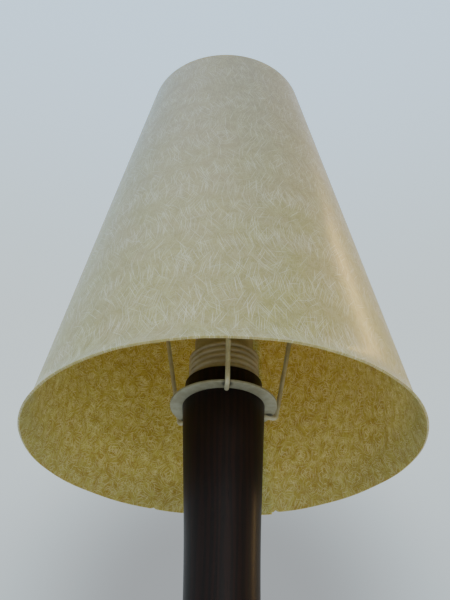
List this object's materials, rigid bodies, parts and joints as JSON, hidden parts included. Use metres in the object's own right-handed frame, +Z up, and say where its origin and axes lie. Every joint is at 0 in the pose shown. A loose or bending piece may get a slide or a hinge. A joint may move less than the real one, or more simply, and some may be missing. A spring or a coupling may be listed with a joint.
{
  "type": "table lamp",
  "caption": "Table lamp with a turned dark hardwood column on a round weighted foot, a ribbed lampholder, a wire carrier and a tall conical fibreglass shade.",
  "frame": {"origin": "centre of the foot's underside, on the surface it stands on", "axes": "+Z up along the column's axis, +Y towards the cord inlet at the back, -Y towards the front strut"},
  "size_m": [0.22, 0.22, 0.451],
  "materials": {
    "rosewood": "satin lacquered dark rosewood",
    "felt": "matt felt",
    "cast_iron": "rough painted casting",
    "zinc_steel": "zinc plated",
    "brass": "satin",
    "cream_moulding": "satin moulded",
    "porcelain": "glazed",
    "dull_nickel": "dull plated",
    "fibreglass": "translucent fibre-reinforced sheet, semi-gloss outside",
    "cap_metal": "bright rolled",
    "black_glass": "gloss",
    "clear_glass": "clear",
    "tungsten": "dark drawn wire"
  },
  "bodies": {
    "base": {"foot_felt": "felt", "foot_turned": "rosewood", "foot_weight": "cast_iron", "weight_screws": "zinc_steel", "cord_inlet_bush": "brass", "column_turned": "rosewood", "stem_tube": "zinc_steel", "lower_washer": "zinc_steel", "lower_nut": "zinc_steel", "upper_washer": "zinc_steel", "upper_nut": "zinc_steel", "holder_cap": "cream_moulding", "holder_insert": "porcelain", "terminal_screws": "brass", "holder_screw_shell": "brass", "holder_centre_contact": "brass", "holder_skirt": "cream_moulding"},
    "carrier": {"carrier_ring": "dull_nickel", "carrier_hoop": "dull_nickel", "carrier_strut_front": "dull_nickel", "carrier_strut_right": "dull_nickel", "carrier_strut_left": "dull_nickel"},
    "shade": {"shade_sheet": "fibreglass"},
    "bulb": {"bulb_cap_shell": "cap_metal", "bulb_insulator": "black_glass", "bulb_contact": "cap_metal", "bulb_envelope": "clear_glass", "bulb_mount": "clear_glass", "bulb_filament": "tungsten"}
  },
  "joints": [
    {"name": "carrier_turn", "type": "hinge", "parent": "base", "child": "carrier", "pos_m": [0, 0, 0.212], "axis": [0, 0, 1], "continuous": true},
    {"name": "shade_lift", "type": "slide", "parent": "carrier", "child": "shade", "axis": [0, 0, 1], "range_m": [0, 0.15]},
    {"name": "bulb_screw", "type": "hinge", "parent": "base", "child": "bulb", "pos_m": [0, 0, 0.2385], "axis": [0, 0, 1], "range_deg": [0, 990]}
  ]
}
